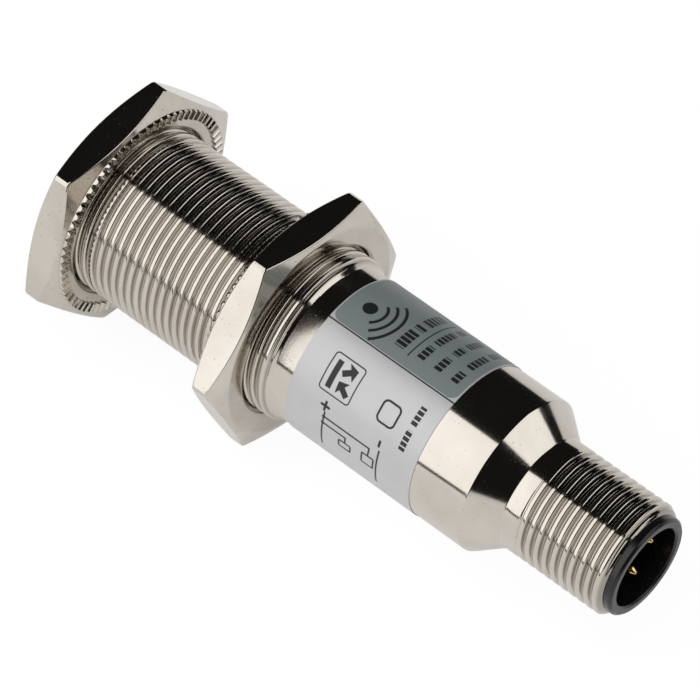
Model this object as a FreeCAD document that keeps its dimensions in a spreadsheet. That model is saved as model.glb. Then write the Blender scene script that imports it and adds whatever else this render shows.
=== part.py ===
"""Cylindrical M18 photoelectric proximity sensor with an M12 plug and two clamping nuts.

Frame: the origin is the centre of the sensing face, +X runs along the barrel to the plug, +Z is up.
All sizes are in millimetres and live in the sheet called Sizes.
"""

import FreeCAD, Part
import math
import os
import re

import Sketcher

SIZES = {
    # barrel, from the sensing face to the plug
    "thread_diameter": 18.0,
    "thread_pitch": 1.0,
    "thread_length": 29.1,
    "thread_relief": 0.65,
    "front_chamfer": 0.5,
    "smooth_length": 23.45,
    "cone_length": 3.0,
    "neck_length": 1.65,
    "plug_diameter": 12.0,
    "plug_pitch": 1.0,
    "plug_thread_length": 10.2,
    "plug_chamfer": 0.6,
    "barrel_wall": 0.65,
    "rear_wall": 1.75,
    "plug_wall": 1.1,
    # clamping nuts
    "nut_wall": 3.0,
    "nut_thickness": 3.6,
    "nut_clearance": 0.05,
    "nut_countersink": 0.45,
    "nut_chamfer_angle": 23.0,
    "ring_land": 1.4,
    "ring_inset": 0.5,
    "tooth_height": 0.4,
    "tooth_depth": 0.35,
    "tooth_width": 0.7,
    "tooth_count": 72,
    "front_nut_setback": 1.0,
    "rear_nut_setback": 2.4,
    # label
    "label_setback": 2.1,
    "label_length": 15.4,
    "label_thickness": 0.08,
    # optics
    "seat_gap": 0.03,
    "lens_thickness": 2.2,
    "lens_bulge": 0.9,
    "eye_wall": 0.85,
    "seal_section": 0.9,
    "holder_length": 9.2,
    "emitter_diameter": 3.0,
    "emitter_length": 4.2,
    "receiver_side": 3.0,
    "receiver_thickness": 1.2,
    # boards and what joins them to the plug
    "sleeve_wall": 0.4,
    "optics_board_thickness": 0.8,
    "board_thickness": 1.0,
    "board_gap": 0.12,
    "board_setback": 0.2,
    "link_side": 0.5,
    "link_length": 2.4,
    "wire_diameter": 0.9,
    "post_diameter": 0.8,
    "post_inset": 3.2,
    "potting_grip": 1.6,
    # plug insert
    "insert_depth": 10.9,
    "insert_floor": 3.3,
    "insert_wall": 0.62,
    "rim_length": 0.9,
    "rim_inset": 0.7,
    "rim_bevel": 0.25,
    "seal_groove_width": 1.3,
    "seal_groove_depth": 0.95,
    "seal_groove_inset": 0.9,
    "key_width": 1.3,
    "key_height": 0.7,
    "key_setback": 0.8,
    "pin_diameter": 1.0,
    "pin_circle": 5.0,
    "pin_setback": 1.4,
    "pin_tail": 2.4,
    "pin_point": 0.45,
}

# Angles from straight up, positive towards -Y, of a corner of each nut and of the first contact.
FRONT_NUT_TURN = 38.5
REAR_NUT_TURN = 21.1
PIN_TURN = 7.0
# The main board is turned this far about the barrel's axis, so that no contact lies in its plane.
BOARD_TURN = -50.0
# A 60 degree thread with broad plated crests, as shares of its pitch: the groove's depth and its mouth.
THREAD_DEPTH_SHARE = 0.36
THREAD_GAP_SHARE = 0.60
LINK_COUNT = 5
LINK_SPACING = 1.27
TURN_TO_X = FreeCAD.Rotation(FreeCAD.Vector(0, 1, 0), 90)

document = FreeCAD.newDocument("ProximitySensor")
sheet = document.addObject("Spreadsheet::Sheet", "Sizes")
for row, (alias, value) in enumerate(SIZES.items(), start=1):
    sheet.set(f"A{row}", alias)
    sheet.set(f"B{row}", str(value))
    sheet.setAlias(f"B{row}", alias)
document.recompute()


def formula(text):
    """Put the sheet's name before each size that a formula names."""
    return re.sub(r"[a-z_]+", lambda word: "Sizes." * (word.group() in SIZES) + word.group(), text)


def number(text):
    """A formula's value now."""
    return float(sheet.evalExpression(formula(text)))


# ---------------------------------------------------------------- radii and stations along X
THREAD = "(thread_diameter / 2)"
BODY = "(thread_diameter / 2 - thread_relief)"
BORE = f"({BODY} - barrel_wall)"
SEAT = f"({BORE} - seat_gap)"
PLUG = "(plug_diameter / 2)"
PLUG_BORE = f"({PLUG} - plug_wall)"
PLUG_SEAT = f"({PLUG_BORE} - seat_gap)"
SLEEVE_BORE = f"({SEAT} - sleeve_wall)"
CONE_START = "(thread_length + smooth_length)"
CONE_END = f"({CONE_START} + cone_length)"
PLUG_THREAD_START = f"({CONE_END} + neck_length)"
METAL_END = f"({PLUG_THREAD_START} + plug_thread_length)"
RIM_END = f"({METAL_END} + rim_length)"
BORE_END = f"({CONE_START} - rear_wall)"
BORE_CONE_END = f"({BORE_END} + {BORE} - {PLUG_BORE})"
HOLDER_END = "(lens_thickness + holder_length)"
BOARD_START = f"({HOLDER_END} + optics_board_thickness)"
BOARD_END = f"({BORE_END} - board_setback)"
BOARD_TOP = "(board_thickness / 2)"
BOARD_EDGE = f"(sqrt({SLEEVE_BORE} ^ 2 - {BOARD_TOP} ^ 2) - board_gap)"
INSERT_START = f"({METAL_END} - insert_depth)"
INSERT_FLOOR = f"({INSERT_START} + insert_floor)"
PIN_START = f"({INSERT_START} - pin_tail)"
PIN_END = f"({RIM_END} - pin_setback)"
RING_INSIDE = f"({THREAD} + ring_land)"
RING_OUTSIDE = f"({THREAD} + nut_wall - ring_inset)"
NUT_CREST = "(nut_thickness + tooth_height)"
EYE = f"((2 * {SEAT} - 3 * eye_wall) / 4)"
EYES = {"emitter": f"({EYE} + eye_wall / 2)", "receiver": f"(-{EYE} - eye_wall / 2)"}


# ---------------------------------------------------------------- drawing helpers
def bind(item, bindings):
    """Bind properties of an object to formulas on the sheet."""
    for name, text in bindings.items():
        item.setExpression(name, formula(text))


def place(item, x="0", y="0", z="0", rotation=None):
    """Set an object's rotation and bind its position to formulas."""
    if rotation is not None:
        item.Placement = FreeCAD.Placement(FreeCAD.Vector(), rotation)
    bind(item, {"Placement.Base.x": x, "Placement.Base.y": y, "Placement.Base.z": z})


def box(name, corner, size):
    """A box from its lowest corner and its three side lengths."""
    item = document.addObject("Part::Box", name)
    bind(item, {"Length": size[0], "Width": size[1], "Height": size[2]})
    place(item, *corner)
    return item


def with_board(y, z):
    """Formulas for a point that is given by its two distances from the axis, across and above the board."""
    cosine, sine = (function(math.radians(BOARD_TURN)) for function in (math.cos, math.sin))
    return (f"{cosine:.6f} * ({y}) - {sine:.6f} * ({z})", f"{sine:.6f} * ({y}) + {cosine:.6f} * ({z})")


def board_rotation(turn=0):
    """The board's rotation about the barrel's axis, and a further turn from it."""
    return FreeCAD.Rotation(FreeCAD.Vector(1, 0, 0), BOARD_TURN + turn)


def board_box(name, corner, size):
    """A box that is square to the main board."""
    item = box(name, corner, size)
    place(item, corner[0], *with_board(*corner[1:]), board_rotation())
    return item


def rod(name, start, radius, length, y="0", z="0", rotation=TURN_TO_X):
    """A cylinder that starts at a station and runs along +X, or as rotation says."""
    item = document.addObject("Part::Cylinder", name)
    bind(item, {"Radius": radius, "Height": length})
    place(item, start, y, z, rotation)
    return item


def taper(name, start, radii, length, y="0", z="0"):
    """A cone frustum along +X."""
    item = document.addObject("Part::Cone", name)
    bind(item, {"Radius1": radii[0], "Radius2": radii[1], "Height": length})
    place(item, start, y, z, TURN_TO_X)
    return item


def ring(name, centre, radius, section):
    """A torus about the barrel's axis."""
    item = document.addObject("Part::Torus", name)
    bind(item, {"Radius1": radius, "Radius2": f"{section} / 2"})
    place(item, centre, rotation=TURN_TO_X)
    return item


def combine(kind, name, pieces):
    """A Part boolean of several objects, or a compound that keeps them apart."""
    item = document.addObject(f"Part::{kind}", name)
    if kind == "Cut":
        item.Base, item.Tool = pieces
    elif kind == "Compound":
        item.Links = pieces
    else:
        item.Shapes = pieces
    return item


def new_body(name):
    """An empty PartDesign body."""
    return document.addObject("PartDesign::Body", name)


def outline(body, name, role, loops):
    """A sketch on one of the body's own planes, with each corner bound to formulas.

    A loop is a list of corners, each a pair of formulas for its two distances from the origin.
    """
    sketch = body.newObject("Sketcher::SketchObject", name)
    plane = next(item for item in body.Origin.OriginFeatures if item.Role == role)
    sketch.AttachmentSupport = [(plane, "")]
    sketch.MapMode = "FlatFace"
    for corners in loops:
        first = sketch.GeometryCount
        points = [FreeCAD.Vector(number(x), number(y), 0) for x, y in corners]
        for index, point in enumerate(points):
            following = points[(index + 1) % len(points)]
            sketch.addGeometry(Part.LineSegment(point, following), False)
        for index, (x, y) in enumerate(corners):
            line = first + index
            following = first + (index + 1) % len(points)
            sketch.addConstraint(Sketcher.Constraint("Coincident", line, 2, following, 1))
            for kind, text in (("DistanceX", x), ("DistanceY", y)):
                found = Sketcher.Constraint(kind, -1, 1, line, 1, number(text))
                place_in_list = sketch.addConstraint(found)
                sketch.setExpression(f"Constraints[{place_in_list}]", formula(text))
    return sketch


def circles(body, name, role, rounds):
    """A sketch of circles, each given as formulas for its centre and radius."""
    sketch = body.newObject("Sketcher::SketchObject", name)
    plane = next(item for item in body.Origin.OriginFeatures if item.Role == role)
    sketch.AttachmentSupport = [(plane, "")]
    sketch.MapMode = "FlatFace"
    for x, y, radius in rounds:
        centre = FreeCAD.Vector(number(x), number(y), 0)
        circle = Part.Circle(centre, FreeCAD.Vector(0, 0, 1), number(radius))
        line = sketch.addGeometry(circle, False)
        for kind, text in (("DistanceX", x), ("DistanceY", y)):
            found = Sketcher.Constraint(kind, -1, 1, line, 3, number(text))
            place_in_list = sketch.addConstraint(found)
            sketch.setExpression(f"Constraints[{place_in_list}]", formula(text))
        place_in_list = sketch.addConstraint(Sketcher.Constraint("Radius", line, number(radius)))
        sketch.setExpression(f"Constraints[{place_in_list}]", formula(radius))
    return sketch


def turned(body, kind, name, sketch, axis):
    """A Revolution or a Groove of a sketch about one of the sketch's own axes."""
    feature = body.newObject(f"PartDesign::{kind}", name)
    feature.Profile = sketch
    feature.ReferenceAxis = (sketch, [axis])
    feature.Angle = 360
    document.recompute()
    return feature


def ring_grooves(body, name, radius, pitch, start, length):
    """Cut thread grooves as rings, one pitch apart, into a turned surface along X."""
    half_mouth = f"{THREAD_GAP_SHARE} * {pitch} / 2"
    depth = f"{THREAD_DEPTH_SHARE} * {pitch}"
    half_root = f"({half_mouth} - {depth} * tan(30 deg))"
    over = f"{pitch} / 10"
    half_open = f"({half_mouth} + {over} * tan(30 deg))"
    centre = f"({start} + {pitch} / 2)"
    sketch = outline(body, f"{name}_profile", "XY_Plane", [[
        (f"{centre} - {half_open}", f"{radius} + {over}"),
        (f"{centre} - {half_root}", f"{radius} - {depth}"),
        (f"{centre} + {half_root}", f"{radius} - {depth}"),
        (f"{centre} + {half_open}", f"{radius} + {over}"),
    ]])
    groove = turned(body, "Groove", f"{name}_first", sketch, "H_Axis")
    pattern = body.newObject("PartDesign::LinearPattern", name)
    pattern.Originals = [groove]
    pattern.Direction = (sketch, ["H_Axis"])
    bind(pattern, {
        "Length": f"(floor({length} / {pitch}) - 1) * {pitch}",
        "Occurrences": f"floor({length} / {pitch})",
    })
    body.Tip = pattern
    document.recompute()
    return pattern


# ---------------------------------------------------------------- housing and nuts
def make_barrel():
    """The one-piece turned housing: M18 thread, smooth body, cone, neck and M12 thread."""
    body = new_body("barrel_housing")
    profile = outline(body, "barrel_profile", "XY_Plane", [[
        ("0", BORE),
        ("0", f"{THREAD} - front_chamfer"),
        ("front_chamfer", THREAD),
        ("thread_length - thread_relief", THREAD),
        ("thread_length", BODY),
        (CONE_START, BODY),
        (CONE_END, PLUG),
        (f"{METAL_END} - plug_chamfer", PLUG),
        (METAL_END, f"{PLUG} - plug_chamfer"),
        (METAL_END, PLUG_BORE),
        (BORE_CONE_END, PLUG_BORE),
        (BORE_END, BORE),
    ]])
    turned(body, "Revolution", "barrel_turned", profile, "H_Axis")
    run = "(thread_length - thread_relief - front_chamfer)"
    ring_grooves(body, "barrel_thread", THREAD, "thread_pitch", "front_chamfer", run)
    plug_run = "(plug_thread_length - plug_chamfer)"
    ring_grooves(body, "plug_thread", PLUG, "plug_pitch", PLUG_THREAD_START, plug_run)
    return body


def make_nut_blank(name):
    """A chamfered hexagon nut with a plain raised ring, drawn along its own Z from its plain face."""
    body = new_body(f"{name}_blank")
    flat = f"({THREAD} + nut_wall)"
    prism = body.newObject("PartDesign::AdditivePrism", f"{name}_hexagon")
    prism.Polygon = 6
    bind(prism, {"Circumradius": f"{flat} * 2 / sqrt(3)", "Height": "nut_thickness"})
    document.recompute()

    annulus = circles(body, f"{name}_ring_profile", "XY_Plane", [
        ("0", "0", RING_OUTSIDE),
        ("0", "0", RING_INSIDE),
    ])
    raised = body.newObject("PartDesign::Pad", f"{name}_ring")
    raised.Profile = annulus
    bind(raised, {"Length": NUT_CREST})
    document.recompute()

    outside = f"({flat} * 1.2)"
    drop = f"(({outside} - {RING_OUTSIDE}) * tan(nut_chamfer_angle * 1 deg))"
    bore = f"({THREAD} + nut_clearance)"
    top = "nut_thickness"
    section = outline(body, f"{name}_section", "XZ_Plane", [
        [(RING_OUTSIDE, "0"), (outside, "0"), (outside, drop)],
        [(RING_OUTSIDE, top), (outside, f"{top} - {drop}"), (outside, top)],
        [
            ("0", "0"),
            (f"{bore} + nut_countersink", "0"),
            (bore, "nut_countersink"),
            (bore, f"{top} - nut_countersink"),
            (f"{bore} + nut_countersink", top),
            ("0", top),
        ],
    ])
    turned(body, "Groove", f"{name}_turning", section, "V_Axis")
    return body


def make_tooth_gaps(name):
    """The radial V-shaped gaps between a nut's teeth, as one tool."""
    half, depth = number("tooth_width") / 2, number("tooth_depth")
    crest, start = number(NUT_CREST), number(RING_INSIDE) - half
    corners = [(start, -half, crest + depth), (start, 0, crest - depth), (start, half, crest + depth)]
    edge = Part.makePolygon([FreeCAD.Vector(*corner) for corner in corners + corners[:1]])
    reach = FreeCAD.Vector(number(RING_OUTSIDE) + half - start, 0, 0)
    gap = Part.Face(edge).extrude(reach)
    count = round(number("tooth_count"))
    gaps = []
    for index in range(count):
        turned_gap = gap.copy()
        turned_gap.rotate(FreeCAD.Vector(), FreeCAD.Vector(0, 0, 1), 360 * index / count)
        gaps.append(turned_gap)
    tool = document.addObject("Part::Feature", f"{name}_gaps")
    tool.Shape = Part.makeCompound(gaps)
    return tool


def make_nut(name, station, direction, turn):
    """A clamping nut whose raised ring of radial teeth faces direction, +1 or -1 along X.

    station is where its plain face lies, and turn is a corner's angle from straight up.
    """
    angle = math.radians(turn)
    corner = FreeCAD.Vector(0, -math.sin(angle), math.cos(angle))
    along = FreeCAD.Vector(direction, 0, 0)
    rotation = FreeCAD.Rotation(corner, along.cross(corner), along, "ZXY")
    pieces = [make_nut_blank(name), make_tooth_gaps(name)]
    for piece in pieces:
        place(piece, station, rotation=rotation)
    return combine("Cut", name, pieces)


def make_label():
    """The printed label wrapped round the smooth part of the barrel."""
    start = "thread_length + label_setback"
    skin = rod("label_outside", start, f"{BODY} + label_thickness", "label_length")
    core = rod("label_inside", start, BODY, "label_length")
    return combine("Cut", "rating_label", [skin, core])


# ---------------------------------------------------------------- optics
def make_lens():
    """The clear front disc with two lenses on its back and a groove for its seal."""
    disc = rod("lens_disc", "0", SEAT, "lens_thickness")
    eye = f"({EYE} - 0.2)"
    sphere_radius = f"(({eye} ^ 2 + lens_bulge ^ 2) / (2 * lens_bulge))"
    bulges = []
    for name, side in EYES.items():
        ball = document.addObject("Part::Sphere", f"{name}_ball")
        bind(ball, {"Radius": sphere_radius})
        place(ball, f"lens_thickness + lens_bulge - {sphere_radius}", side)
        reach = f"{name}_reach"
        limit = rod(reach, "lens_thickness / 2", eye, "lens_thickness / 2 + lens_bulge", y=side)
        bulge = document.addObject("Part::Common", f"{name}_bulge")
        bulge.Base, bulge.Tool = ball, limit
        bulges.append(bulge)
    solid = combine("MultiFuse", "lens_solid", [disc, *bulges])
    depth = f"{SEAT} - seal_section"
    outer = rod("lens_groove_outside", "lens_thickness / 2 - seal_section * 0.6",
                f"{BORE} + 1", "seal_section * 1.2")
    inner = rod("lens_groove_inside", "lens_thickness / 2 - seal_section * 0.6",
                depth, "seal_section * 1.2")
    groove = combine("Cut", "lens_groove", [outer, inner])
    return combine("Cut", "lens_window", [solid, groove])


def make_lens_seal():
    """The O-ring between the lens and the barrel."""
    middle = f"{SEAT} - seal_section / 2"
    return ring("lens_seal", "lens_thickness / 2", middle, "(seal_section - 0.06)")


def make_holder():
    """The black optics holder: a plug with a light tunnel for each eye and a wall between them."""
    blank = rod("holder_blank", "lens_thickness", SEAT, "holder_length")
    cuts = []
    for name, side in EYES.items():
        mouth = EYE
        straight = "(lens_bulge + 0.6)"
        throat = "(emitter_diameter / 2 + 0.1)"
        funnel = "(holder_length - emitter_length)"
        cuts.append(rod(f"{name}_mouth", "lens_thickness", mouth, straight, y=side))
        cuts.append(taper(f"{name}_funnel", f"lens_thickness + {straight}", (mouth, throat),
                          f"{funnel} - {straight}", y=side))
    throat_start = "lens_thickness + holder_length - emitter_length"
    cuts.append(rod("emitter_throat", throat_start, "emitter_diameter / 2 + 0.1",
                    "emitter_length", y=EYES["emitter"]))
    pocket = "(receiver_side + 0.4)"
    cuts.append(box("receiver_pocket",
                    (throat_start, f"{EYES['receiver']} - {pocket} / 2", f"-{pocket} / 2"),
                    ("emitter_length", pocket, pocket)))
    return combine("Cut", "optics_holder", [blank, combine("MultiFuse", "holder_cuts", cuts)])


def make_emitter():
    """The infrared light-emitting diode, with its domed nose."""
    base = f"{HOLDER_END} - emitter_length * 0.9"
    radius = "emitter_diameter / 2"
    straight = f"emitter_length * 0.9 - {radius} * 0.5"
    stem = rod("emitter_stem", f"{base} + {radius} * 0.5", radius, straight, y=EYES["emitter"])
    nose = taper("emitter_nose", base, (f"{radius} * 0.6", radius), f"{radius} * 0.5", y=EYES["emitter"])
    return combine("MultiFuse", "emitter_led", [stem, nose])


def make_receiver():
    """The flat photodiode on the optics board."""
    side = "receiver_side"
    corner = (f"{HOLDER_END} - receiver_thickness", f"{EYES['receiver']} - {side} / 2", f"-{side} / 2")
    return box("receiver_photodiode", corner, ("receiver_thickness", side, side))


# ---------------------------------------------------------------- boards
# Each part on the main board: its middle as a share of the board's length and of its half width,
# +1 for the upper side or -1 for the lower, then its own length, width and height.
CHIPS = {
    "controller_chip": [(0.31, 0.0, 1, 6.0, 4.0, 1.5)],
    "output_transistors": [(0.66, side, 1, 3.0, 1.6, 1.1) for side in (-0.6, 0.6)],
    "voltage_regulator": [(0.62, 0.0, -1, 6.4, 3.6, 1.6)],
    "suppressor_diodes": [(0.80, side, 1, 4.4, 2.6, 2.1) for side in (-0.58, 0.58)],
    "capacitors": [(0.13, side, 1, 2.0, 1.25, 1.2) for side in (-0.5, 0.5)]
    + [(0.49, side, 1, 3.4, 2.7, 1.9) for side in (-0.55, 0.55)],
    "resistors": [(0.12 + 0.07 * step, side, -1, 1.6, 0.8, 0.5)
                  for side in (-0.6, 0.6) for step in range(6)],
}


def make_boards():
    """The round optics board and the long main board behind it."""
    width = f"2 * {BOARD_EDGE}"
    return [
        rod("optics_board", HOLDER_END, f"{SLEEVE_BORE} - board_gap", "optics_board_thickness"),
        board_box("main_board", (BOARD_START, f"-{BOARD_EDGE}", f"-{BOARD_TOP}"),
                  (f"{BOARD_END} - {BOARD_START}", width, "board_thickness")),
    ]


def make_chips():
    """The parts soldered to the main board, one node for each kind."""
    kinds = []
    for name, chips in CHIPS.items():
        solids = []
        for index, (along, across, side, length, width, height) in enumerate(chips, start=1):
            low = BOARD_TOP if side > 0 else f"-{BOARD_TOP} - {height}"
            corner = (f"{BOARD_START} + {along} * ({BOARD_END} - {BOARD_START}) - {length} / 2",
                      f"{across} * {BOARD_EDGE} - {width} / 2", low)
            label = name if len(chips) == 1 else f"{name}_{index}"
            solids.append(board_box(label, corner, (f"{length}", f"{width}", f"{height}")))
        kinds.append(solids[0] if len(solids) == 1 else combine("Compound", name, solids))
    return kinds


def make_links():
    """The flat pins that join the two boards."""
    links = []
    for index in range(LINK_COUNT):
        across = f"{LINK_SPACING * (index - (LINK_COUNT - 1) / 2)} - link_side / 2"
        links.append(board_box(f"board_link_{index + 1}", (BOARD_START, across, BOARD_TOP),
                               ("link_length", "link_side", "link_side")))
    return combine("Compound", "board_link_pins", links)


def make_sleeve():
    """The insulating sleeve between the boards and the metal barrel."""
    length = f"{BORE_END} - seat_gap - {HOLDER_END}"
    outside = rod("sleeve_outside", HOLDER_END, SEAT, length)
    inside = rod("sleeve_inside", HOLDER_END, SLEEVE_BORE, length)
    return combine("Cut", "insulating_sleeve", [outside, inside])


# ---------------------------------------------------------------- plug
PIN_ANGLES = [math.radians(PIN_TURN + 90 * index) for index in range(4)]


def pin_place(angle):
    """Formulas for a contact's two distances from the axis."""
    return (f"{-math.sin(angle):.6f} * pin_circle / 2", f"{math.cos(angle):.6f} * pin_circle / 2")


def make_carrier():
    """The black contact insert, with its rim, its keyed hollow and a seal groove."""
    body = new_body("contact_carrier")
    hollow = f"({PLUG_SEAT} - insert_wall)"
    groove_start = f"({INSERT_START} + seal_groove_inset)"
    groove_end = f"({groove_start} + seal_groove_width)"
    groove_floor = f"({PLUG_SEAT} - seal_groove_depth)"
    rim = f"({PLUG} - rim_inset)"
    profile = outline(body, "carrier_profile", "XY_Plane", [[
        (INSERT_START, "0"),
        (INSERT_START, PLUG_SEAT),
        (groove_start, PLUG_SEAT),
        (groove_start, groove_floor),
        (groove_end, groove_floor),
        (groove_end, PLUG_SEAT),
        (METAL_END, PLUG_SEAT),
        (METAL_END, rim),
        (f"{RIM_END} - rim_bevel", rim),
        (RIM_END, f"{rim} - rim_bevel"),
        (RIM_END, f"{hollow} + rim_bevel"),
        (f"{RIM_END} - rim_bevel", hollow),
        (INSERT_FLOOR, hollow),
        (INSERT_FLOOR, "0"),
    ]])
    turned(body, "Revolution", "carrier_turned", profile, "H_Axis")
    key = body.newObject("PartDesign::AdditiveBox", "coding_key")
    bind(key, {
        "Length": f"{RIM_END} - key_setback - {INSERT_FLOOR}",
        "Width": "key_width",
        "Height": "key_height + 0.2",
    })
    turn = FreeCAD.Rotation(FreeCAD.Vector(1, 0, 0), PIN_TURN + 45)
    angle = math.radians(PIN_TURN + 45)
    reach = f"({hollow} - key_height)"
    key.Placement = FreeCAD.Placement(FreeCAD.Vector(), turn)
    bind(key, {
        "Placement.Base.x": INSERT_FLOOR,
        "Placement.Base.y": f"{-math.sin(angle):.6f} * {reach} - {math.cos(angle):.6f} * key_width / 2",
        "Placement.Base.z": f"{math.cos(angle):.6f} * {reach} - {math.sin(angle):.6f} * key_width / 2",
    })
    document.recompute()
    holes = circles(body, "pin_hole_profile", "YZ_Plane", [
        (*pin_place(angle), "pin_diameter / 2") for angle in PIN_ANGLES
    ])
    drilled = body.newObject("PartDesign::Pocket", "pin_holes")
    drilled.Profile = holes
    drilled.Reversed = True
    bind(drilled, {"Length": f"{INSERT_FLOOR} + 0.1"})
    document.recompute()
    return body


def make_carrier_seal():
    """The O-ring round the contact insert."""
    middle = f"{PLUG_SEAT} - seal_groove_depth / 2"
    centre = f"{INSERT_START} + seal_groove_inset + seal_groove_width / 2"
    return ring("carrier_seal", centre, middle, "(seal_groove_depth - 0.06)")


def make_pins():
    """The four round contacts with blunt points."""
    pins = []
    for index, angle in enumerate(PIN_ANGLES):
        y, z = pin_place(angle)
        radius = "pin_diameter / 2"
        stem = rod(f"pin_stem_{index + 1}", PIN_START, radius,
                   f"{PIN_END} - pin_point - {PIN_START}", y, z)
        point = taper(f"pin_point_{index + 1}", f"{PIN_END} - pin_point",
                      (radius, f"{radius} * 0.45"), "pin_point", y, z)
        pins.append(combine("MultiFuse", f"pin_{index + 1}", [stem, point]))
    return combine("Compound", "contact_pins", pins)


def wire_start(index):
    """Formula for where a lead begins; neighbours are staggered along the board."""
    return f"({BOARD_END} - post_inset - {index % 2} * 2 * post_diameter)"


def make_wires():
    """The leads from the contacts to the main board."""
    wires = []
    for index, angle in enumerate(PIN_ANGLES):
        start = wire_start(index)
        wires.append(rod(f"wire_{index + 1}", start, "wire_diameter / 2",
                         f"{PIN_START} - {start}", *pin_place(angle)))
    return combine("Compound", "connector_wires", wires)


def make_posts():
    """The posts on the main board that the leads are soldered to."""
    posts = []
    for index, angle in enumerate(PIN_ANGLES):
        across, above = pin_place(angle - math.radians(BOARD_TURN))
        side = 1 if number(above) > 0 else -1
        posts.append(rod(f"post_{index + 1}", f"{wire_start(index)} + post_diameter / 2",
                         "post_diameter / 2", f"{side} * {above} - wire_diameter / 2 - {BOARD_TOP}",
                         *with_board(across, f"{side} * {BOARD_TOP}"), board_rotation(90 - 90 * side)))
    return combine("Compound", "wire_posts", posts)


def make_potting():
    """The cast resin plug that closes the rear of the barrel round the board and the leads."""
    start = f"({BORE_END} - potting_grip)"
    front = rod("potting_front", start, f"{SLEEVE_BORE} - seat_gap", "potting_grip")
    cone = taper("potting_cone", BORE_END, (SEAT, PLUG_SEAT), f"{BORE_CONE_END} - {BORE_END}")
    slot = board_box("potting_slot", (start, f"-{BOARD_EDGE}", f"-{BOARD_TOP}"),
                     (f"{BOARD_END} - {start}", f"2 * {BOARD_EDGE}", "board_thickness"))
    tools = [slot]
    for index, angle in enumerate(PIN_ANGLES):
        y, z = pin_place(angle)
        tools.append(rod(f"lead_hole_{index + 1}", start, "wire_diameter / 2",
                         f"{PIN_START} - {start}", y, z))
        tools.append(rod(f"tail_hole_{index + 1}", PIN_START, "pin_diameter / 2",
                         "pin_tail", y, z))
    solid = combine("MultiFuse", "potting_solid", [front, cone])
    return combine("Cut", "potting_plug", [solid, combine("MultiFuse", "potting_holes", tools)])


# ---------------------------------------------------------------- the whole sensor
def make_sensor():
    """Build every sub-part and return them in order from the front."""
    return [
        make_barrel(),
        make_nut("front_nut", "front_nut_setback", 1, FRONT_NUT_TURN),
        make_nut("rear_nut", "thread_length - rear_nut_setback", -1, REAR_NUT_TURN),
        make_label(),
        make_lens(),
        make_lens_seal(),
        make_holder(),
        make_emitter(),
        make_receiver(),
        *make_boards(),
        *make_chips(),
        make_links(),
        make_sleeve(),
        make_wires(),
        make_posts(),
        make_potting(),
        make_carrier(),
        make_carrier_seal(),
        make_pins(),
    ]


def write_parts(nodes):
    """Check every object of the document, then write one STEP file for each sub-part."""
    document.recompute()
    for item in document.Objects:
        if {"Invalid", "Error"} & set(item.State):
            raise RuntimeError(f"{item.Label} did not build: {item.State}")
    for node in nodes:
        if node.Shape.isNull() or not node.Shape.isValid() or not node.Shape.Solids:
            raise RuntimeError(f"{node.Label} has no valid solid")
    os.makedirs("parts", exist_ok=True)
    for node in nodes:
        node.Shape.exportStep(f"parts/{node.Label}.step")
        print(f"{node.Label}: {len(node.Shape.Solids)} solids, {node.Shape.Volume:.2f} mm3")


write_parts(make_sensor())
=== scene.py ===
"""Looks for an M18 proximity sensor: turned housing, clamping nuts, rating label and plug end.

Lengths held by the classes are in millimetres, and meshes are made in metres, in the part's frame: the
sensing face is at the origin and +X runs to the plug. Angles round the barrel start at straight up and
grow towards -Y.
"""

import logging
import math
from dataclasses import dataclass, field
from enum import Enum
from functools import reduce
from typing import Callable

import bmesh
import bpy
import numpy as np
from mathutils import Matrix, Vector


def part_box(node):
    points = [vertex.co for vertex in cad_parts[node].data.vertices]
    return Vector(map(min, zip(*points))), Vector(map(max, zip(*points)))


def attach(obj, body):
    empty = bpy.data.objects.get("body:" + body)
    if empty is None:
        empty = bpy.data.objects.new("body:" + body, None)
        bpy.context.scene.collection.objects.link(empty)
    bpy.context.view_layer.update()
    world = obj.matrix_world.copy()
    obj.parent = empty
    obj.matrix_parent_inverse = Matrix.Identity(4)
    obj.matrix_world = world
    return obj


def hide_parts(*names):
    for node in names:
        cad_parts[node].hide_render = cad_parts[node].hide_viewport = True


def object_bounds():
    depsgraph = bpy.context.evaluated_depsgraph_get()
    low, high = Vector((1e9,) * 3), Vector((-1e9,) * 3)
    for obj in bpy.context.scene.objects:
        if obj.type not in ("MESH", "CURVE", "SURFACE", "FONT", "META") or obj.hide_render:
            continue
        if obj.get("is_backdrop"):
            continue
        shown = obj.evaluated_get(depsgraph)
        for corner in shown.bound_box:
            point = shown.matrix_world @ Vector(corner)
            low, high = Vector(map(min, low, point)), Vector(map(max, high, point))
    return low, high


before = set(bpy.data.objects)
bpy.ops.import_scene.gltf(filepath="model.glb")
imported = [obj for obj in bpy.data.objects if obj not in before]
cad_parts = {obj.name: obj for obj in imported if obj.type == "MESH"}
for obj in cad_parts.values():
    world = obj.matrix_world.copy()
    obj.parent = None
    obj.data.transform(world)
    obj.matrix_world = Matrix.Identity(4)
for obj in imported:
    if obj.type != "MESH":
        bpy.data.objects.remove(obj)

MM = 0.001
# Vertices closer than this are one, and edges shorter than this vanish, in millimetres.
DOUBLE = 0.0005
SLIVER = 0.0001
Point = tuple[float, float]
Colour = tuple[float, float, float]
log = logging.getLogger("sensor")


# ---------------------------------------------------------------- node trees
def calculation(operation: str, meaning: str, swapped: bool = False) -> Callable[..., "Value"]:
    """A method that adds one Math node.

    Args:
        operation: The node's operation.
        meaning: The method's docstring.
        swapped: Whether the value itself comes last.

    Returns:
        The method.
    """
    def method(self: "Value", *others: "Number") -> "Value":
        """Add the node."""
        given = (*others, self) if swapped else (self, *others)
        return self.graph.maths(operation, *given)

    method.__doc__ = meaning
    return method


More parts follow.
